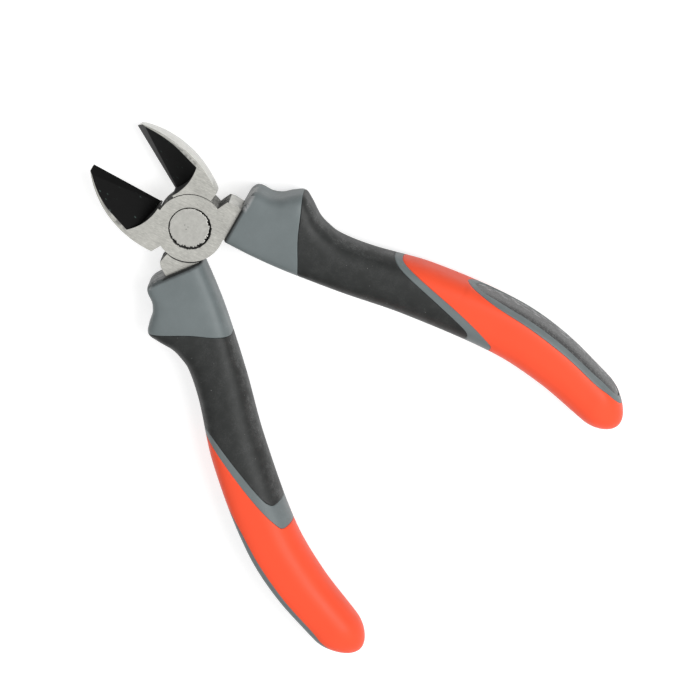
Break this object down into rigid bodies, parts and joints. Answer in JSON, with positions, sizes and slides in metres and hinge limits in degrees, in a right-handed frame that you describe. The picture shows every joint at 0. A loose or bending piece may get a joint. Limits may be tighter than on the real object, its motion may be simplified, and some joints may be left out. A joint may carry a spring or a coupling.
{
  "type": "diagonal cutting pliers",
  "caption": "Side cutters with bevelled, curved jaws, a flush riveted lap joint and moulded grips in grey, black and orange, resting half open.",
  "frame": {"origin": "on the rivet's axis, at the ground back face of the head", "axes": "+Y points from the pivot to the jaw tips and halves the opening, +Z is the rivet's axis and points out of the front face, +X is to the right seen from the front"},
  "size_m": [0.111, 0.1495, 0.0166],
  "materials": {
    "forged_steel": "finely ground faces, blackened bevels",
    "rivet_steel": "ground flush with the head",
    "grip_grey": "hard, smooth satin",
    "grip_black": "soft, matt",
    "grip_orange": "soft moulding with a semi-gloss skin",
    "grip_pad": "finely textured"
  },
  "bodies": {
    "front": {"front_half": "forged_steel", "rivet": "rivet_steel", "right_grip_core": "grip_grey", "right_grip_sleeve": "grip_black", "right_grip_shell": "grip_orange", "right_grip_pad": "grip_pad"},
    "rear": {"rear_half": "forged_steel", "left_grip_core": "grip_grey", "left_grip_sleeve": "grip_black", "left_grip_shell": "grip_orange", "left_grip_pad": "grip_pad"}
  },
  "joints": [
    {"name": "pivot", "type": "hinge", "parent": "front", "child": "rear", "pos_m": [0, 0, 0.0045], "axis": [0, 0, 1], "range_deg": [-16.9, 30.5]}
  ]
}
